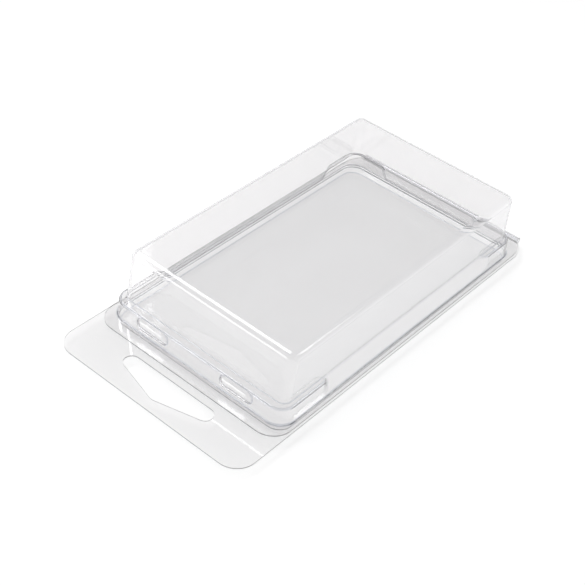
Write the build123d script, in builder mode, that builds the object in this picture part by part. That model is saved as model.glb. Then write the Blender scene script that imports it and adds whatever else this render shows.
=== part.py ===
from build123d import *
from math import atan2, degrees
import os

# Sheet and clearances, all in millimetres
sheet = 0.35
flange_gap = 0.1
hinge_gap = 0.3

# Lower band of the lid, which sets the size of the pack
band_width = 59.7
band_length = 101.5
band_corner = 4.8
band_height = 5.5
band_draft = 0.4
band_edge = 0.6

# Flat margins round the band, seen in plan
tab_length = 17.54
side_margin = 1.9
back_margin = 6.46
tab_corner = 6.0
back_corner = 8.0

# Delta hang hole in the tab
hole_width = 30.0
hole_depth = 8.0
hole_margin = 3.3
hole_end_radius = 2.3
hole_tip_radius = 2.6

# Tray of the base, stepped in from the band
tray_depth = 1.82
tray_side_step = 0.45
tray_front_step = 0.36
tray_back_step = 0.54
tray_corner = 4.2
tray_draft = 0.35
tray_edge = 0.5

# Lid flange
lid_flange_front = 4.04
lid_flange_inset = 0.5

# Tall wall of the lid above the ledge
side_ledge = 1.5
front_ledge = 2.4
back_ledge = 1.2
wall_height = 14.13
wall_corner = 2.5
side_draft = 0.1
front_draft = 1.9
back_draft = 0.1
top_edge = 1.9

# Snap ribs pressed outwards from the front of the band, just under the ledge
rib_radius = 2.0
rib_proud = 1.0
rib_drop = 0.15
rib_length = 11.4
rib_spacing = 28.9

# Sloping dents that take the place of the ledge along the sides and back
dent_foot = 0.5
dent_drop = 0.25
dent_corner = 1.2
side_dent_length = 73.0
side_dent_start = 15.8
back_dent_length = 36.0

# Hinge bead along the back edge
bead_radius = 1.0
bead_inset = 2.85

# Levels and positions worked out from the sizes above
pack_width = band_width + 2 * side_margin
pack_length = tab_length + band_length + back_margin
tab_edge_y = -pack_length / 2
hinge_y = pack_length / 2 - bead_radius
flange_z = tray_depth
lid_z = flange_z + sheet + flange_gap
hinge_z = lid_z - flange_gap / 2
ledge_z = lid_z + band_height
band_front = tab_edge_y + tab_length
band_back = band_front + band_length
body_y = (band_front + band_back) / 2
tray_width = band_width - 2 * tray_side_step
tray_length = band_length - tray_front_step - tray_back_step
tray_y = body_y + (tray_front_step - tray_back_step) / 2
lid_flange_start = tab_length - lid_flange_front
bead_length = pack_width - 2 * bead_inset
cover_height = band_height + wall_height
cover_width = band_width - 2 * (band_draft + side_ledge - side_draft * band_height / wall_height)
cover_front = band_front + band_draft + front_ledge - front_draft * band_height / wall_height
cover_back = band_back - band_draft - back_ledge + back_draft * band_height / wall_height
rib_z = ledge_z - rib_drop - rib_radius
rib_y = band_front + band_draft / 2 - rib_proud + rib_radius
side_dent_y = band_front + side_dent_start + side_dent_length / 2
side_dent_run = band_draft + side_ledge
back_dent_run = band_draft + back_ledge
tray_taper = degrees(atan2(tray_draft, tray_depth))
band_taper = degrees(atan2(band_draft, band_height))
side_angle = degrees(atan2(wall_height, side_draft))
front_angle = degrees(atan2(wall_height, front_draft))
back_angle = degrees(atan2(wall_height, back_draft))


def tray_form(inset):
    """Solid bounded by the tray's lower skin, drawn in by the inset."""
    with BuildPart() as form:
        with BuildSketch(Plane.XY.offset(flange_z + sheet)):
            with Locations((0, tray_y)):
                RectangleRounded(
                    tray_width + 2 * (sheet - inset),
                    tray_length + 2 * (sheet - inset),
                    tray_corner + sheet - inset,
                )
        extrude(amount=inset - flange_z - sheet, taper=tray_taper)
    return form.part


def rib_form(length, radius):
    """Round-ended bar lying along X."""
    with BuildPart() as form:
        with BuildSketch(Plane.XY):
            SlotOverall(length, 2 * radius)
            split(bisect_by=Plane.XZ)
        revolve(axis=Axis.X)
    return form.part


def dent_form(length, run, inset):
    """Bar along X whose back face is the slope, with the slope's foot on the X axis."""
    lean = degrees(atan2(run, band_height - dent_foot - dent_drop))
    with BuildPart() as form:
        with BuildSketch(Plane.XY.offset(-band_height)):
            with Locations((0, inset)):
                Rectangle(length, 2 * band_height, align=(Align.CENTER, Align.MAX))
        extrude(amount=3 * band_height)
        fillet(form.edges().filter_by(Axis.Z).group_by(Axis.Y)[-1], dent_corner + inset)
    return form.part.rotate(Axis.X, -lean)


def cover_form(inset):
    """Solid bounded by the lid's tall walls and flat top, carried down to the flange."""
    with BuildPart() as form:
        with BuildSketch(Plane.YZ):
            with Locations((cover_front + inset, lid_z)):
                Trapezoid(
                    cover_back - cover_front - 2 * inset,
                    cover_height - inset,
                    front_angle,
                    back_angle,
                    align=(Align.MIN, Align.MIN),
                )
        extrude(amount=cover_width, both=True)
        with BuildSketch(Plane.XZ):
            with Locations((0, lid_z)):
                Trapezoid(
                    cover_width - 2 * inset,
                    cover_height - inset,
                    side_angle,
                    align=(Align.CENTER, Align.MIN),
                )
        extrude(amount=pack_length, both=True, mode=Mode.INTERSECT)
        fillet(form.edges().group_by(Axis.Z)[1], wall_corner - inset)
        fillet(form.faces().sort_by(Axis.Z)[-1].edges(), top_edge - inset)
    return form.part


def lid_form(inset):
    """Solid bounded by the lid's outer skin, drawn in by the inset, with its ribs and dents."""
    rib = rib_form(rib_length - 2 * inset, rib_radius - inset)
    side_dent = dent_form(side_dent_length + 2 * inset, side_dent_run, inset)
    back_dent = dent_form(back_dent_length + 2 * inset, back_dent_run, inset)
    cover = cover_form(inset)
    with BuildPart() as form:
        with BuildSketch(Plane.XY.offset(lid_z)):
            with Locations((0, body_y)):
                RectangleRounded(band_width - 2 * inset, band_length - 2 * inset, band_corner - inset)
        extrude(amount=band_height - inset, taper=band_taper)
        fillet(form.faces().sort_by(Axis.Z)[-1].edges(), band_edge - inset)
        with Locations(
            Location((band_width / 2, side_dent_y, lid_z + dent_foot), (0, 0, 90)),
            Location((-band_width / 2, side_dent_y, lid_z + dent_foot), (0, 0, -90)),
        ):
            add(side_dent, mode=Mode.SUBTRACT)
        with Locations(Location((0, band_back, lid_z + dent_foot), (0, 0, 180))):
            add(back_dent, mode=Mode.SUBTRACT)
        add(cover)
        with Locations(
            (rib_spacing / 2, rib_y, rib_z),
            (-rib_spacing / 2, rib_y, rib_z),
        ):
            add(rib)
    return form.part


tray_outside = tray_form(0)
tray_inside = tray_form(sheet)
lid_outside = lid_form(0)
lid_inside = lid_form(sheet)

# Base: flange with the hang tab, and the tray pressed down from it
with BuildPart() as base_tray:
    base_back = hinge_y - bead_radius - hinge_gap
    with BuildSketch(Plane.XY.offset(flange_z)) as base_outline:
        Rectangle(pack_width, pack_length)
        fillet(base_outline.vertices().group_by(Axis.Y)[0], tab_corner)
        fillet(base_outline.vertices().group_by(Axis.Y)[-1], back_corner)
        split(bisect_by=Plane.XZ.offset(-base_back), keep=Keep.TOP)
    extrude(amount=sheet)
    add(tray_outside)
    fillet(base_tray.faces().sort_by(Axis.Z)[0].edges(), tray_edge)
    add(tray_inside, mode=Mode.SUBTRACT)
    with BuildSketch(Plane.XY.offset(flange_z)):
        tip_y = tab_edge_y + hole_margin + hole_tip_radius
        end_y = tab_edge_y + hole_margin + hole_depth - hole_end_radius
        end_x = hole_width / 2 - hole_end_radius
        with Locations((-end_x, end_y), (end_x, end_y)):
            Circle(hole_end_radius)
        with Locations((0, tip_y)):
            Circle(hole_tip_radius)
        make_hull()
    extrude(amount=sheet, mode=Mode.SUBTRACT)

# Lid: flange, stepped cover and the bead it turns on
with BuildPart() as lid:
    with BuildSketch(Plane.XY.offset(lid_z)) as lid_outline:
        with Locations((0, lid_flange_start / 2)):
            Rectangle(pack_width - 2 * lid_flange_inset, pack_length - lid_flange_start)
        fillet(lid_outline.vertices().group_by(Axis.Y)[0], tab_corner)
        fillet(lid_outline.vertices().group_by(Axis.Y)[-1], back_corner)
        split(bisect_by=Plane.XZ.offset(-hinge_y), keep=Keep.TOP)
    extrude(amount=sheet)
    add(lid_outside)
    add(lid_inside, mode=Mode.SUBTRACT)
    with BuildSketch(Plane.YZ.offset(-bead_length / 2)):
        with Locations((hinge_y, hinge_z)):
            Circle(bead_radius)
    extrude(amount=bead_length)
    with BuildSketch(Plane.YZ.offset(-bead_length / 2)):
        with Locations((hinge_y, hinge_z)):
            Circle(bead_radius - sheet)
    extrude(amount=bead_length, mode=Mode.SUBTRACT)

base_tray.part.label = "base_tray"
lid.part.label = "lid"
os.makedirs("parts", exist_ok=True)
export_step(base_tray.part, "parts/base_tray.step")
export_step(lid.part, "parts/lid.step")
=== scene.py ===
import logging
import math
from dataclasses import dataclass, field
from enum import Enum
from typing import Callable

import bmesh
import bpy
from mathutils import Matrix, Vector


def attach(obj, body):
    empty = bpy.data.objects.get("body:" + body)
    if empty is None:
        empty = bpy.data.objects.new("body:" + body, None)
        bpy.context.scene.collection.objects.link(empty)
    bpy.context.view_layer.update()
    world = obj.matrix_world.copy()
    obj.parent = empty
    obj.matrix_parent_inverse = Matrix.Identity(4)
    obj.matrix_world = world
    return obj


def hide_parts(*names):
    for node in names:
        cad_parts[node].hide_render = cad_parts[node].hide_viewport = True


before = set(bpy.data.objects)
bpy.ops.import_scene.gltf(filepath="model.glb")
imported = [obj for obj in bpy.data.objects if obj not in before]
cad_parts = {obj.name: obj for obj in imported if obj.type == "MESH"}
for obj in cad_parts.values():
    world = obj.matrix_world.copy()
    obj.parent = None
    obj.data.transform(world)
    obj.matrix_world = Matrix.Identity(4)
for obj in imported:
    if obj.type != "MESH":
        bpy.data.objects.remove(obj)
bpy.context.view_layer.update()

LOG = logging.getLogger("hang_tab_pack")
MM = 0.001
# Face attribute that holds each face's share of painted bend shade.
BEND_SHADE_SHARE = "bend"
CUT_TOLERANCE = 1e-5
LEVEL_SLACK = 1e-4
FACING_SLACK = 0.01
SIDE_REACH = 20.0
PALE_TINT = (0.955, 0.9505, 0.954, 1.0)
CLEAR_TINT = (0.969, 0.9645, 0.968, 1.0)
# Painted shade: the bluish grey that the tint turns to along tight bends, standing in for the dark
# lines that refraction draws there.
BEND_PAINTED_SHADE = (0.73, 0.74, 0.78, 1.0)


class Side(Enum):
    """The four upright sides of the lid's band, by the way each one faces."""

    FRONT = (0, -1)
    BACK = (0, 1)
    LEFT = (-1, 0)
    RIGHT = (1, 0)

    def outward(self, point: Vector) -> float:
        """Distance of a point from the middle plane, counted outwards."""
        return point.x * self.value[0] + point.y * self.value[1]

    def along(self, point: Vector) -> float:
        """Place of a point along the side."""
        return point.y if self.value[0] else point.x

    def along_axis(self) -> Vector:
        """Unit vector that runs along the side."""
        return Vector((0, 1, 0)) if self.value[0] else Vector((1, 0, 0))

    def out_axis(self) -> Vector:
        """Unit vector that points out of the side."""
        return Vector((self.value[0], self.value[1], 0))


def forming_marks_and_bend_shade() -> bpy.types.NodeTree:
    """Build the shader group for the faint waves and haze that forming leaves in a clear sheet, and
    for the painted shade along its bends.

    Returns:
        A node group with Wave Scale and Haze inputs and Tint, Roughness and Height outputs. The
        Tint carries the painted bend shade.
    """
    group = bpy.data.node_groups.new("forming_marks_and_bend_shade", "ShaderNodeTree")
    wave = group.interface.new_socket("Wave Scale", in_out="INPUT", socket_type="NodeSocketFloat")
    wave.default_value = 90.0
    haze = group.interface.new_socket("Haze", in_out="INPUT", socket_type="NodeSocketFloat")
    haze.default_value = 0.02
    group.interface.new_socket("Tint", in_out="OUTPUT", socket_type="NodeSocketColor")
    group.interface.new_socket("Roughness", in_out="OUTPUT", socket_type="NodeSocketFloat")
    group.interface.new_socket("Height", in_out="OUTPUT", socket_type="NodeSocketFloat")
    nodes, links = group.nodes, group.links
    given = nodes.new("NodeGroupInput")
    out = nodes.new("NodeGroupOutput")
    coords = nodes.new("ShaderNodeTexCoord")
    slow = nodes.new("ShaderNodeTexNoise")
    slow.inputs["Detail"].default_value = 1.5
    slow.inputs["Roughness"].default_value = 0.4
    fine = nodes.new("ShaderNodeTexNoise")
    fine.inputs["Scale"].default_value = 700.0
    fine.inputs["Detail"].default_value = 3.0
    links.new(coords.outputs["Object"], slow.inputs["Vector"])
    links.new(coords.outputs["Object"], fine.inputs["Vector"])
    links.new(given.outputs["Wave Scale"], slow.inputs["Scale"])
    spread = nodes.new("ShaderNodeMath")
    spread.operation = "MULTIPLY"
    links.new(fine.outputs["Fac"], spread.inputs[0])
    links.new(given.outputs["Haze"], spread.inputs[1])
    links.new(spread.outputs["Value"], out.inputs["Roughness"])
    tint = nodes.new("ShaderNodeMix")
    tint.data_type = "RGBA"
    tint.inputs["A"].default_value = PALE_TINT
    tint.inputs["B"].default_value = CLEAR_TINT
    links.new(slow.outputs["Fac"], tint.inputs["Factor"])
    # Painted shade: the tint darkens towards the bend shade where the face attribute marks a tight
    # bend.
    bend = nodes.new("ShaderNodeAttribute")
    bend.attribute_name = BEND_SHADE_SHARE
    bend_shaded = nodes.new("ShaderNodeMix")
    bend_shaded.data_type = "RGBA"
    bend_shaded.inputs["B"].default_value = BEND_PAINTED_SHADE
    links.new(bend.outputs["Fac"], bend_shaded.inputs["Factor"])
    links.new(tint.outputs["Result"], bend_shaded.inputs["A"])
    links.new(bend_shaded.outputs["Result"], out.inputs["Tint"])
    links.new(slow.outputs["Fac"], out.inputs["Height"])
    return group


@dataclass(frozen=True)
class ClearSheet:
    """Finish of clear glossy formed sheet.

    The shader refracts for what is seen and lets most of a lamp's light through to the floor. Its
    colour holds painted shade: it darkens where the sheet is seen edge-on and along tight bends.
    """

    name: str
    wave_scale: float
    wave_depth: float
    haze: float
    shade: tuple[float, float, float] = (0.979, 0.981, 0.98)
    edge_shade: tuple[float, float, float] = (0.9, 0.9, 0.905)
    # Painted shade: the grey that the colour turns to where the sheet is seen edge-on, and how soon
    # and how steeply it sets in.
    graze_painted_shade: tuple[float, float, float] = (0.52, 0.53, 0.56)
    graze_shade_blend: float = 0.5
    graze_shade_from: float = 0.45
    edge_blend: float = 0.35
    ior: float = 1.57

    def material(self, marks: bpy.types.NodeTree) -> bpy.types.Material:
        """Make the material.

        Args:
            marks: The shader group of forming marks and painted bend shade.

        Returns:
            The finished material.
        """
        made = bpy.data.materials.new(self.name)
        made.use_nodes = True
        nodes, links = made.node_tree.nodes, made.node_tree.links
        body = nodes["Principled BSDF"]
        body.inputs["Transmission Weight"].default_value = 1.0
        body.inputs["IOR"].default_value = self.ior
        formed = nodes.new("ShaderNodeGroup")
        formed.node_tree = marks
        formed.inputs["Wave Scale"].default_value = self.wave_scale
        formed.inputs["Haze"].default_value = self.haze
        bump = nodes.new("ShaderNodeBump")
        bump.inputs["Strength"].default_value = 1.0
        bump.inputs["Distance"].default_value = self.wave_depth
        # Painted shade: the base colour darkens towards a grey where the sheet is seen edge-on,
        # standing in for the dark silhouettes of clear plastic.
        graze = nodes.new("ShaderNodeLayerWeight")
        graze.inputs["Blend"].default_value = self.graze_shade_blend
        steep = nodes.new("ShaderNodeMapRange")
        steep.interpolation_type = "SMOOTHSTEP"
        steep.inputs["From Min"].default_value = self.graze_shade_from
        steep.inputs["From Max"].default_value = 1.0
        rim = nodes.new("ShaderNodeMix")
        rim.data_type = "RGBA"
        rim.inputs["B"].default_value = (*self.graze_painted_shade, 1.0)
        links.new(graze.outputs["Facing"], steep.inputs["Value"])
        links.new(steep.outputs["Result"], rim.inputs["Factor"])
        links.new(formed.outputs["Tint"], rim.inputs["A"])
        links.new(rim.outputs["Result"], body.inputs["Base Color"])
        links.new(formed.outputs["Roughness"], body.inputs["Roughness"])
        links.new(formed.outputs["Height"], bump.inputs["Height"])
        links.new(bump.outputs["Normal"], body.inputs["Normal"])
        rays = nodes.new("ShaderNodeLightPath")
        through = nodes.new("ShaderNodeBsdfTransparent")
        facing = nodes.new("ShaderNodeLayerWeight")
        facing.inputs["Blend"].default_value = self.edge_blend
        dim = nodes.new("ShaderNodeMix")
        dim.data_type = "RGBA"
        dim.inputs["A"].default_value = (*self.shade, 1.0)
        dim.inputs["B"].default_value = (*self.edge_shade, 1.0)
        links.new(facing.outputs["Facing"], dim.inputs["Factor"])
        links.new(dim.outputs["Result"], through.inputs["Color"])
        soft = nodes.new("ShaderNodeMath")
        soft.operation = "MAXIMUM"
        links.new(rays.outputs["Is Shadow Ray"], soft.inputs[0])
        links.new(rays.outputs["Is Diffuse Ray"], soft.inputs[1])
        blend = nodes.new("ShaderNodeMixShader")
        links.new(soft.outputs["Value"], blend.inputs["Fac"])
        links.new(body.outputs["BSDF"], blend.inputs[1])
        links.new(through.outputs["BSDF"], blend.inputs[2])
        links.new(blend.outputs["Shader"], nodes["Material Output"].inputs["Surface"])
        return made


@dataclass(frozen=True)
class CutEdge:
    """Finish of the sheet's cut edges, which are a little frosted. Their mid grey is partly painted
    shade, standing in for the dark outline that a clear edge shows.
    """

    name: str
    # Grey levels of the edge, varied at random. They are darker than frosted plastic, as painted
    # shade for the edge's outline.
    dark: float = 0.36
    light: float = 0.5
    roughness: float = 0.45

    def material(self, marks: bpy.types.NodeTree) -> bpy.types.Material:
        """Make the material.

        Args:
            marks: The shader group of forming marks and painted bend shade.

        Returns:
            The finished material.
        """
        made = bpy.data.materials.new(self.name)
        made.use_nodes = True
        nodes, links = made.node_tree.nodes, made.node_tree.links
        body = nodes["Principled BSDF"]
        body.inputs["Roughness"].default_value = self.roughness
        formed = nodes.new("ShaderNodeGroup")
        formed.node_tree = marks
        tone = nodes.new("ShaderNodeMix")
        tone.data_type = "RGBA"
        tone.inputs["A"].default_value = (self.dark, self.dark, self.dark, 1.0)
        tone.inputs["B"].default_value = (self.light, self.light, self.light, 1.0)
        links.new(formed.outputs["Height"], tone.inputs["Factor"])
        links.new(tone.outputs["Result"], body.inputs["Base Color"])
        return made


@dataclass(frozen=True)
class Rounded:
    """A rounded rectangle lying flat: half width, front and back edge, level and corner radii."""

    half_width: float
    front: float
    back: float
    level: float
    front_radius: float
    back_radius: float

    def face(self, bm: bmesh.types.BMesh, segments: int) -> bmesh.types.BMFace:
        """Add the rectangle as one face.

        Args:
            bm: The mesh that receives it.
            segments: Number of edges in each corner arc.

        Returns:
            The new face.
        """
        middle = (self.front + self.back) / 2
        place = Matrix.Translation((0, middle, self.level))
        size = Matrix.Diagonal((self.half_width, (self.back - self.front) / 2, 1, 1))
        grid = bmesh.ops.create_grid(bm, x_segments=1, y_segments=1, size=1, matrix=place @ size)
        front = [v for v in grid["verts"] if v.co.y < middle]
        back = [v for v in grid["verts"] if v.co.y > middle]
        for corners, radius in ((front, self.front_radius), (back, self.back_radius)):
            arcs = bmesh.ops.bevel(
                bm, geom=corners, offset=radius, offset_type="OFFSET", segments=segments,
                profile=0.5, affect="VERTICES", material=-1, clamp_overlap=False,
            )
        return arcs["verts"][0].link_faces[0]

    def loop(self, bm: bmesh.types.BMesh, segments: int) -> list[bmesh.types.BMEdge]:
        """Add only the rectangle's outline.

        Args:
            bm: The mesh that receives it.
            segments: Number of edges in each corner arc.

        Returns:
            The outline's edges.
        """
        face = self.face(bm, segments)
        edges = list(face.edges)
        bmesh.ops.delete(bm, geom=[face], context="FACES_ONLY")
        return edges

    def points(self, segments: int) -> list[Vector]:
        """Work out the outline's corners in order.

        Args:
            segments: Number of edges in each corner arc.

        Returns:
            The corners, in the same order for every rounded rectangle.
        """
        bm = bmesh.new()
        places = [corner.co.copy() for corner in self.face(bm, segments).verts]
        bm.free()
        return places


@dataclass(frozen=True)
class PressedForm:
    """Something pressed out of or into one side of the band: its side, middle and length."""

    side: Side
    centre: float
    length: float

    def places(self) -> list[float]:
        """Places along the side that need a guide line."""
        raise NotImplementedError

    def levels(self) -> list[float]:
        """Levels that need a guide line."""
        raise NotImplementedError

    def pressed(self, point: Vector) -> Vector:
        """Where a point of the plain side comes to lie once the form is pressed."""
        raise NotImplementedError

    def skin(self, bm: bmesh.types.BMesh, low: float, high: float) -> list:
        """Collect the straight run of the side between two levels, ledge included.

        Args:
            bm: The lid's mesh.
            low: Lowest level of a face's middle.
            high: Highest level of a face's middle.

        Returns:
            Faces, edges and corners that a cut can be limited to.
        """
        out, along = self.side.out_axis(), self.side.along_axis()
        faces = [
            f for f in bm.faces
            if f.normal.dot(out) > -FACING_SLACK
            and abs(f.normal.dot(along)) < FACING_SLACK
            and low < f.calc_center_median().z < high
            and self.side.outward(f.calc_center_median()) > SIDE_REACH
        ]
        edges = {e for f in faces for e in f.edges}
        corners = {v for f in faces for v in f.verts}
        return [*faces, *edges, *corners]

    def press(self, bm: bmesh.types.BMesh, low: float, high: float) -> None:
        """Cut guide lines into the side and move its skin to the pressed shape.

        Args:
            bm: The lid's mesh.
            low: Level of the band's foot.
            high: Level of the tall wall's foot.
        """
        along = self.side.along_axis()
        cuts = [(along * place, along) for place in self.places()]
        cuts += [(Vector((0, 0, level)), Vector((0, 0, 1))) for level in self.levels()]
        for point, direction in cuts:
            bmesh.ops.bisect_plane(
                bm, geom=self.skin(bm, low, high), dist=CUT_TOLERANCE,
                plane_co=point, plane_no=direction,
            )
        corners = {v for v in self.skin(bm, low, high) if isinstance(v, bmesh.types.BMVert)}
        for corner in corners:
            corner.co = self.pressed(corner.co)


@dataclass(frozen=True)
class SnapRib(PressedForm):
    """A round-ended bar pressed out of the band.

    Its axis is given as distance out from the middle and level.
    """

    radius: float
    axis_out: float
    axis_level: float
    steps: int = 12

    def places(self) -> list[float]:
        """Places along the side that need a guide line."""
        arcs = [self.radius * math.sin(math.pi / 2 * k / self.steps) for k in range(self.steps + 1)]
        start = self.length / 2 - self.radius
        return [self.centre + sign * (start + arc) for sign in (-1, 1) for arc in arcs]

    def levels(self) -> list[float]:
        """Levels that need a guide line."""
        turns = [math.pi / 2 * k / self.steps for k in range(1 - self.steps, self.steps)]
        return [self.axis_level + self.radius * math.sin(turn) for turn in turns]

    def pressed(self, point: Vector) -> Vector:
        """Move a point out to the bar's skin, where that stands proud of the side."""
        past = max(0.0, abs(self.side.along(point) - self.centre) - self.length / 2 + self.radius)
        left = self.radius ** 2 - past ** 2 - (point.z - self.axis_level) ** 2
        proud = self.axis_out + math.sqrt(max(0.0, left)) - self.side.outward(point)
        return point + self.side.out_axis() * max(0.0, proud) if left > 0 else point


@dataclass(frozen=True)
class SlopeDent(PressedForm):
    """A dent that leads the skin from the tall wall straight to the band's foot, with eased ends.

    The points are given as distance out from the middle and level.
    """

    top: tuple[float, float]
    knee: tuple[float, float]
    foot: tuple[float, float]
    ease: float = 2.2
    bow: float = 0.0
    steps: int = 16
    level_gap: float = 0.42
    level_count: int = 9

    def places(self) -> list[float]:
        """Places along the side that need a guide line."""
        spots = [self.length / 2 - self.ease * k / self.steps for k in range(self.steps + 1)]
        return [self.centre + sign * spot for sign in (-1, 1) for spot in spots]

    def levels(self) -> list[float]:
        """Levels that need a guide line."""
        return [self.foot[1] + self.level_gap * k for k in range(1, self.level_count + 1)]

    def pressed(self, point: Vector) -> Vector:
        """Lead a point from the stepped profile to the same place on the sloping one."""
        inside = self.length / 2 - abs(self.side.along(point) - self.centre)
        low, high = self.foot[1] - LEVEL_SLACK, self.top[1] + LEVEL_SLACK
        if inside <= 0 or not low < point.z < high:
            return point
        share = min(1.0, inside / self.ease)
        weight = share * share * (3 - 2 * share)
        here = Vector((self.side.outward(point), point.z))
        top, knee, foot = Vector(self.top), Vector(self.knee), Vector(self.foot)
        done = (top.y - here.y + here.x - top.x) / (top.y - foot.y + foot.x - top.x)
        upper, lower = (knee - top).length, (foot - knee).length
        far = min(max(done, 0.0), 1.0) * (upper + lower)
        down = max(0.0, (far - upper) / lower)
        outward = Vector((knee.y - foot.y, foot.x - knee.x)).normalized()
        hollow = outward * self.bow * 4 * down * (1 - down)
        goal = top.lerp(knee, far / upper) if far < upper else knee.lerp(foot, down) - hollow
        shift = (goal - here) * weight
        return point + self.side.out_axis() * shift.x + Vector((0, 0, shift.y))


def ring_edges(
    bm: bmesh.types.BMesh, ring: list[bmesh.types.BMVert]
) -> list[bmesh.types.BMEdge]:
    """Collect the edges that join a ring of corners.

    Args:
        bm: The mesh that holds them.
        ring: The corners, in order.

    Returns:
        The edges, in the same order.
    """
    return [bm.edges.get(pair) for pair in zip(ring, ring[1:] + ring[:1])]


class FormedSheet:
    """Shared steps for a half of the pack that is formed from one sheet."""

    name: str
    sheet: float
    bend_angle: float = 0.5
    # Bend sharpness at which the painted bend shade starts, and where it is full.
    bend_shade_from: float = 0.4
    bend_shade_full: float = 2.0
    least_gap: float = 0.02
    sharp_degrees: float = 38.0
    normal_weight: int = 80

    def rise(
        self, bm: bmesh.types.BMesh, rim: list[bmesh.types.BMVert], places: list[Vector]
    ) -> list[bmesh.types.BMVert]:
        """Extrude an open outline and lead it to the next outline.

        Args:
            bm: The mesh to work on.
            rim: Corners of the outline, in order.
            places: Where the extruded corners go, in the same order.

        Returns:
            The extruded corners, in order.
        """
        made = set(bmesh.ops.extrude_edge_only(bm, edges=ring_edges(bm, rim))["geom"])
        risen = [
            next(e.other_vert(v) for e in v.link_edges if e.other_vert(v) in made)
            for v in rim
        ]
        for corner, place in zip(risen, places):
            corner.co = place
        return risen

    def round_off(
        self,
        bm: bmesh.types.BMesh,
        chosen: Callable[[bmesh.types.BMEdge], bool],
        radius: float,
        segments: int,
    ) -> None:
        """Round the bends that a test picks out.

        Args:
            bm: The mesh to work on.
            chosen: Test that is true for the edges of a bend.
            radius: Distance from the bend to where the rounding starts.
            segments: Number of faces across the rounding.
        """
        bends = [
            e for e in bm.edges
            if len(e.link_faces) == 2 and e.calc_face_angle() > self.bend_angle
        ]
        bmesh.ops.bevel(
            bm, geom=[e for e in bends if chosen(e)], offset=radius, offset_type="OFFSET",
            segments=segments, profile=0.5, affect="EDGES", material=-1, clamp_overlap=False,
        )

    def cut_back(self, bm: bmesh.types.BMesh, place: float) -> list:
        """Cut the skin off straight behind a line.

        Args:
            bm: The mesh to work on.
            place: Where the line lies, from front to back.

        Returns:
            The edges and corners along the cut.
        """
        return bmesh.ops.bisect_plane(
            bm, geom=[*bm.faces, *bm.edges, *bm.verts], dist=CUT_TOLERANCE,
            plane_co=(0, place, 0), plane_no=(0, 1, 0), clear_outer=True,
        )["geom_cut"]

    def face_up(self, bm: bmesh.types.BMesh) -> None:
        """Turn the whole skin so that its largest face points up."""
        bmesh.ops.recalc_face_normals(bm, faces=bm.faces)
        if max(bm.faces, key=lambda f: f.calc_area()).normal.z < 0:
            bmesh.ops.reverse_faces(bm, faces=bm.faces)

    def paint_bend_shade(self, bm: bmesh.types.BMesh) -> None:
        """Note on each face how tightly the sheet is bent there, as its share of the painted bend
        shade.

        Args:
            bm: The finished outer skin, in millimetres.
        """
        bend = bm.faces.layers.float.new(BEND_SHADE_SHARE)
        middles = {face: face.calc_center_median() for face in bm.faces}
        for face in bm.faces:
            tight = 0.0
            for edge in face.edges:
                if len(edge.link_faces) == 2:
                    apart = (middles[edge.link_faces[0]] - middles[edge.link_faces[1]]).length
                    tight = max(tight, edge.calc_face_angle() / max(apart, self.least_gap))
            share = (tight - self.bend_shade_from) / (self.bend_shade_full - self.bend_shade_from)
            face[bend] = min(max(share, 0.0), 1.0)

    def thicken(
        self, bm: bmesh.types.BMesh, finish: bpy.types.Material, edge: bpy.types.Material
    ) -> bpy.types.Object:
        """Give the skin its sheet thickness and make it an object in metres.

        Args:
            bm: The finished outer skin, in millimetres. It is freed.
            finish: Material of the sheet's two faces.
            edge: Material of the sheet's cut edges.

        Returns:
            The new object, linked to the scene.
        """
        self.paint_bend_shade(bm)
        bmesh.ops.scale(bm, vec=(MM, MM, MM), verts=bm.verts)
        skin = bpy.data.meshes.new(self.name + "_skin")
        bm.to_mesh(skin)
        bm.free()
        skin.materials.append(finish)
        skin.materials.append(edge)
        piece = bpy.data.objects.new(self.name, skin)
        bpy.context.scene.collection.objects.link(piece)
        wall = piece.modifiers.new("sheet", "SOLIDIFY")
        wall.thickness = self.sheet * MM
        wall.offset = -1.0
        wall.use_even_offset = True
        wall.material_offset_rim = 1
        ready = piece.evaluated_get(bpy.context.evaluated_depsgraph_get())
        solid = bpy.data.meshes.new_from_object(ready)
        solid.name = self.name
        piece.modifiers.clear()
        piece.data = solid
        bpy.data.meshes.remove(skin)
        solid.shade_smooth()
        solid.set_sharp_from_angle(angle=math.radians(self.sharp_degrees))
        even = piece.modifiers.new("even_shading", "WEIGHTED_NORMAL")
        even.keep_sharp = True
        even.weight = self.normal_weight
        return piece


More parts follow.
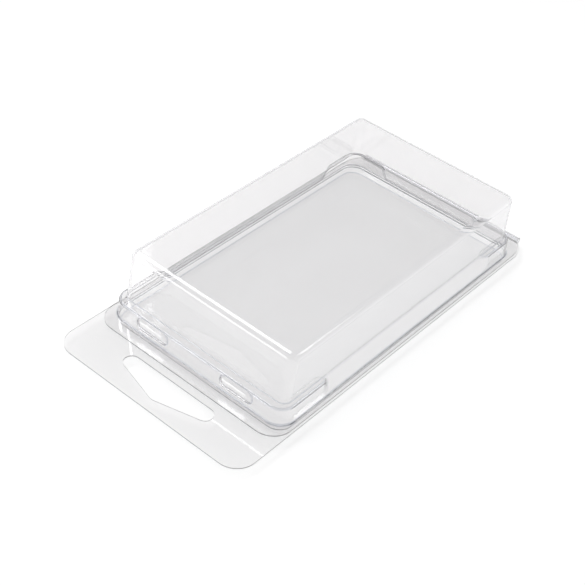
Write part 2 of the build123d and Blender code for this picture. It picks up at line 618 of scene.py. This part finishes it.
@dataclass
class LidHalf(FormedSheet):
    """The lid, in millimetres: flange, band, ledge, tall walls, flat top and hinge curl."""

    name: str = "lid_shell"
    sheet: float = 0.35
    corner_segments: int = 14
    flange: Rounded = Rounded(31.25, -49.25, 62.75, 2.62, 6.0, 8.0)
    foot: Rounded = Rounded(29.82, -45.185, 56.265, 2.62, 4.78, 4.78)
    band: Rounded = Rounded(29.45, -44.81, 55.89, 7.77, 4.4, 4.4)
    wall: Rounded = Rounded(27.95, -42.41, 54.69, 7.77, 2.5, 2.5)
    top: Rounded = Rounded(27.85, -40.51, 54.59, 21.9, 2.5, 2.5)
    foot_round: float = 0.4
    band_round: float = 0.6
    wall_round: float = 0.12
    top_round: float = 1.9
    foot_segments: int = 5
    band_segments: int = 6
    wall_segments: int = 5
    top_segments: int = 12
    level_slack: float = 0.01
    foot_clear: float = 0.05
    curl_axis: tuple[float, float] = (61.75, 2.22)
    curl_radius: float = 1.0
    curl_turn: float = 325.0
    curl_steps: int = 40
    pressed: list[PressedForm] = field(default_factory=lambda: [
        SlopeDent(Side.RIGHT, 7.09, 73.0, (27.95, 7.97), (27.95, 7.52), (29.79, 3.02), 3.4),
        SlopeDent(Side.LEFT, 7.09, 73.0, (27.95, 7.97), (27.95, 7.52), (29.79, 3.02), 3.4),
        SlopeDent(Side.BACK, 0.0, 36.0, (54.69, 7.97), (54.69, 7.52), (56.24, 3.02), bow=0.3),
        SnapRib(Side.FRONT, 14.45, 11.4, 2.0, 44.01, 5.62),
        SnapRib(Side.FRONT, -14.45, 11.4, 2.0, 44.01, 5.62),
    ])

    def build(self, finish: bpy.types.Material, edge: bpy.types.Material) -> bpy.types.Object:
        """Form the lid.

        Args:
            finish: Material of the sheet's two faces.
            edge: Material of the sheet's cut edges.

        Returns:
            The lid's object.
        """
        bm = bmesh.new()
        sheet = self.flange.face(bm, self.corner_segments)
        rim = list(sheet.verts)
        bmesh.ops.delete(bm, geom=[sheet], context="FACES_ONLY")
        for form in (self.foot, self.band, self.wall, self.top):
            rim = self.rise(bm, rim, form.points(self.corner_segments))
        bmesh.ops.edgeloop_fill(bm, edges=ring_edges(bm, rim))
        self.face_up(bm)
        ledge = self.band.level
        middle = (ledge + self.top.level) / 2

        def at(level: float) -> Callable[[bmesh.types.BMEdge], bool]:
            """Test for edges that lie at a level."""
            return lambda e: all(abs(v.co.z - level) < self.level_slack for v in e.verts)

        def inner(e: bmesh.types.BMEdge) -> bool:
            """Test for the ledge's bend into the tall wall."""
            return at(ledge)(e) and not e.is_convex

        def outer(e: bmesh.types.BMEdge) -> bool:
            """Test for the ledge's bend into the band."""
            return at(ledge)(e) and e.is_convex

        self.round_off(
            bm, lambda e: e.verts[0].co.z > middle, self.top_round, self.top_segments
        )
        self.round_off(bm, inner, self.wall_round, self.wall_segments)
        self.round_off(bm, outer, self.band_round, self.band_segments)
        self.round_off(bm, at(self.foot.level), self.foot_round, self.foot_segments)
        for form in self.pressed:
            form.press(bm, self.foot.level + self.foot_clear, ledge + self.wall_round)
        self.curl_back_edge(bm)
        return self.thicken(bm, finish, edge)

    def curl_back_edge(self, bm: bmesh.types.BMesh) -> None:
        """Cut the flange's back straight and roll it over into the hinge curl.

        Args:
            bm: The lid's skin.
        """
        axis_y, axis_z = self.curl_axis
        rise = self.flange.level - axis_z
        start = axis_y - math.sqrt(self.curl_radius ** 2 - rise ** 2)
        bmesh.ops.spin(
            bm, geom=self.cut_back(bm, start), cent=(0, axis_y, axis_z), axis=(1, 0, 0),
            angle=-math.radians(self.curl_turn), steps=self.curl_steps,
        )
        self.face_up(bm)


@dataclass
class BaseHalf(FormedSheet):
    """The base, in millimetres: flange, hang tab with its delta hole, and shallow tray."""

    name: str = "base_shell"
    sheet: float = 0.35
    corner_segments: int = 14
    outline: Rounded = Rounded(31.75, -62.75, 62.75, 2.17, 6.0, 8.0)
    back_cut: float = 60.45
    rim: Rounded = Rounded(30.3, -45.75, 56.65, 2.17, 5.1, 5.1)
    mouth: Rounded = Rounded(29.4, -44.85, 55.75, 2.17, 4.2, 4.2)
    floor: Rounded = Rounded(29.05, -44.5, 55.4, 0.35, 3.85, 3.85)
    mouth_round: float = 0.25
    floor_round: float = 0.15
    tray_segments: int = 5
    floor_reach: float = 1.0
    hole_end: tuple[float, float] = (12.7, -53.75)
    hole_end_radius: float = 2.3
    hole_tip: float = -56.85
    hole_tip_radius: float = 2.6
    hole_steps: int = 20

    def build(self, finish: bpy.types.Material, edge: bpy.types.Material) -> bpy.types.Object:
        """Form the base.

        Args:
            finish: Material of the sheet's two faces.
            edge: Material of the sheet's cut edges.

        Returns:
            The base's object.
        """
        bm = bmesh.new()
        outline = self.outline.loop(bm, self.corner_segments)
        rim = self.rim.loop(bm, self.corner_segments)
        mouth = self.mouth.loop(bm, self.corner_segments)
        floor = list(self.floor.face(bm, self.corner_segments).edges)
        hole = self.hang_hole(bm)
        bmesh.ops.bridge_loops(bm, edges=rim + mouth)
        bmesh.ops.bridge_loops(bm, edges=mouth + floor)
        bmesh.ops.triangle_fill(
            bm, use_beauty=True, use_dissolve=False, edges=outline + rim + hole
        )
        self.face_up(bm)
        self.cut_back(bm, self.back_cut)
        self.round_off(bm, lambda e: e.is_convex, self.mouth_round, self.tray_segments)
        self.round_off(
            bm, lambda e: e.verts[0].co.z < self.floor_reach, self.floor_round, self.tray_segments
        )
        return self.thicken(bm, finish, edge)

    def hang_hole(self, bm: bmesh.types.BMesh) -> list[bmesh.types.BMEdge]:
        """Draw the delta hole's outline from three arcs and the straight runs between them.

        Args:
            bm: The base's mesh.

        Returns:
            The outline's edges.
        """
        end_x, end_y = self.hole_end
        level = self.outline.level
        gap = math.hypot(end_x, end_y - self.hole_tip)
        slope = math.atan2(end_y - self.hole_tip, end_x)
        slope += math.asin((self.hole_tip_radius - self.hole_end_radius) / gap)
        quarter = math.pi / 2
        low = slope - quarter
        end, tip = self.hole_end_radius, self.hole_tip_radius
        runs = (
            (Vector((end_x, end_y, level)), end, low, quarter - low),
            (Vector((-end_x, end_y, level)), end, quarter, quarter - low),
            (Vector((0, self.hole_tip, level)), tip, math.pi - low, 2 * low + math.pi),
        )
        edges, ends = [], []
        for centre, radius, start, turn in runs:
            first = bm.verts.new(centre + Vector((math.cos(start), math.sin(start), 0)) * radius)
            kept = set(bm.edges)
            last = bmesh.ops.spin(
                bm, geom=[first], cent=centre, axis=(0, 0, 1), angle=turn, steps=self.hole_steps
            )["geom_last"]
            edges += [e for e in bm.edges if e not in kept]
            ends.append((first, next(v for v in last if isinstance(v, bmesh.types.BMVert))))
        for (_, last), (first, _) in zip(ends, ends[1:] + ends[:1]):
            edges.append(bm.edges.new((last, first)))
        return edges


@dataclass(frozen=True)
class Softbox:
    """A lamp with a bright cloth, in metres: its middle, the point it looks at and its size.

    The radiance is the brightness of the cloth, where 1 is white.
    """

    name: str
    place: tuple[float, float, float]
    target: tuple[float, float, float]
    size: tuple[float, float]
    radiance: float

    def hang(self) -> None:
        """Add the lamp to the scene."""
        data = bpy.data.lights.new(self.name, "AREA")
        data.shape = "RECTANGLE"
        data.size, data.size_y = self.size
        data.energy = self.radiance * math.pi * self.size[0] * self.size[1]
        lamp = bpy.data.objects.new(self.name, data)
        bpy.context.scene.collection.objects.link(lamp)
        gaze = Vector(self.place) - Vector(self.target)
        turn = gaze.to_track_quat("Z", "Y").to_matrix().to_4x4()
        lamp.matrix_world = Matrix.Translation(self.place) @ turn


@dataclass
class Studio:
    """Floor, lamps, surroundings and camera."""

    bounces: int = 32
    clear_bounces: int = 24
    floor_drop: float = 0.00002
    floor_half: float = 6.0
    floor_squares: int = 8
    paper: tuple[float, float, float, float] = (0.8, 0.8, 0.8, 1.0)
    paper_glow: float = 0.42
    white_from: float = 0.10
    white_full: float = 0.22
    surround_low: float = 1.0
    surround_high: float = 0.42
    climb_from: float = 0.06
    climb_full: float = 0.4
    lamps: tuple[Softbox, ...] = (
        Softbox("left_softbox", (-0.31, 0.04, 0.49), (0, 0.04, 0), (0.34, 0.28), 4.6),
        Softbox(
            "front_left_panel", (-0.265, -0.406, 0.13), (0, -0.04, 0.01), (0.24, 0.15), 3.2
        ),
        Softbox(
            "back_right_strip", (0.351, 0.313, 0.383), (0.027, -0.04, 0.02), (0.06, 0.14), 6.0
        ),
    )
    eye: tuple[float, float, float] = (0.1561, -0.21719, 0.22823)
    right: tuple[float, float, float] = (0.754, 0.6512, 0.0864)
    up: tuple[float, float, float] = (-0.4749, 0.4495, 0.7566)
    lens: float = 79.05

    def build(self) -> None:
        """Set up the whole studio."""
        scene = bpy.context.scene
        scene.view_settings.view_transform = "Standard"
        scene.cycles.max_bounces = self.bounces
        scene.cycles.transmission_bounces = self.clear_bounces
        scene.cycles.transparent_max_bounces = self.clear_bounces
        self.lay_floor()
        self.surround()
        for lamp in self.lamps:
            lamp.hang()
        self.place_camera()

    def lay_floor(self) -> None:
        """Lay a pale floor that keeps the pack's shadow and turns white further out."""
        bm = bmesh.new()
        bmesh.ops.create_grid(
            bm, x_segments=self.floor_squares, y_segments=self.floor_squares, size=self.floor_half,
            matrix=Matrix.Translation((0, 0, -self.floor_drop)),
        )
        mesh = bpy.data.meshes.new("studio_floor")
        bm.to_mesh(mesh)
        bm.free()
        floor = bpy.data.objects.new("studio_floor", mesh)
        bpy.context.scene.collection.objects.link(floor)
        mesh.materials.append(self.floor_paint())

    def floor_paint(self) -> bpy.types.Material:
        """Make the floor's material.

        Returns:
            A matt white that glows a little, so that it reads as white paper.
        """
        paint = bpy.data.materials.new("studio_paper")
        paint.use_nodes = True
        nodes, links = paint.node_tree.nodes, paint.node_tree.links
        nodes.remove(nodes["Principled BSDF"])
        matt = nodes.new("ShaderNodeBsdfDiffuse")
        matt.inputs["Color"].default_value = self.paper
        glow = nodes.new("ShaderNodeEmission")
        glow.inputs["Strength"].default_value = self.paper_glow
        both = nodes.new("ShaderNodeAddShader")
        white = nodes.new("ShaderNodeEmission")
        coords = nodes.new("ShaderNodeTexCoord")
        reach = nodes.new("ShaderNodeVectorMath")
        reach.operation = "LENGTH"
        far = nodes.new("ShaderNodeMapRange")
        far.interpolation_type = "SMOOTHSTEP"
        far.inputs["From Min"].default_value = self.white_from
        far.inputs["From Max"].default_value = self.white_full
        mix = nodes.new("ShaderNodeMixShader")
        links.new(coords.outputs["Object"], reach.inputs[0])
        links.new(reach.outputs["Value"], far.inputs["Value"])
        links.new(matt.outputs["BSDF"], both.inputs[0])
        links.new(glow.outputs["Emission"], both.inputs[1])
        links.new(far.outputs["Result"], mix.inputs["Fac"])
        links.new(both.outputs["Shader"], mix.inputs[1])
        links.new(white.outputs["Emission"], mix.inputs[2])
        links.new(mix.outputs["Shader"], nodes["Material Output"].inputs["Surface"])
        return paint

    def surround(self) -> None:
        """Give the world white walls low down and a dim ceiling."""
        world = bpy.data.worlds.new("studio_surround")
        bpy.context.scene.world = world
        world.use_nodes = True
        nodes, links = world.node_tree.nodes, world.node_tree.links
        coords = nodes.new("ShaderNodeTexCoord")
        split = nodes.new("ShaderNodeSeparateXYZ")
        climb = nodes.new("ShaderNodeMapRange")
        climb.interpolation_type = "SMOOTHSTEP"
        climb.inputs["From Min"].default_value = self.climb_from
        climb.inputs["From Max"].default_value = self.climb_full
        climb.inputs["To Min"].default_value = self.surround_low
        climb.inputs["To Max"].default_value = self.surround_high
        links.new(coords.outputs["Generated"], split.inputs["Vector"])
        links.new(split.outputs["Z"], climb.inputs["Value"])
        links.new(climb.outputs["Result"], nodes["Background"].inputs["Strength"])
        nodes["Background"].inputs["Color"].default_value = (1.0, 1.0, 1.0, 1.0)

    def place_camera(self) -> None:
        """Put the camera where the photograph was taken from."""
        data = bpy.data.cameras.new("camera")
        data.sensor_width = 36.0
        data.lens = self.lens
        data.clip_start = 0.01
        data.clip_end = 50.0
        camera = bpy.data.objects.new("camera", data)
        bpy.context.scene.collection.objects.link(camera)
        right = Vector(self.right).normalized()
        back = right.cross(Vector(self.up)).normalized()
        up = back.cross(right)
        turn = Matrix((right, up, back)).transposed().to_4x4()
        camera.matrix_world = Matrix.Translation(self.eye) @ turn
        bpy.context.scene.camera = camera


def main() -> None:
    """Build the two halves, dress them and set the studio."""
    logging.basicConfig(level=logging.INFO, format="%(name)s: %(message)s")
    marks = forming_marks_and_bend_shade()
    edge = CutEdge("cut_edge").material(marks)
    lid_finish = ClearSheet("lid_clear_sheet", 70.0, 0.000003, 0.03)
    base_finish = ClearSheet(
        "base_clear_sheet", 50.0, 0.000003, 0.03, edge_shade=(0.62, 0.62, 0.63)
    )
    halves = (
        (LidHalf(), "lid", "lid", "lid_sheet", lid_finish),
        (BaseHalf(), "base", "base_tray", "base_sheet", base_finish),
    )
    for half, body, node, slot, finish in halves:
        piece = half.build(finish.material(marks), edge)
        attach(piece, body)
        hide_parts(node)
        LOG.info("%s: %d faces", piece.name, len(piece.data.polygons))
    Studio().build()
    LOG.info("studio ready")


if __name__ == "__main__":
    main()
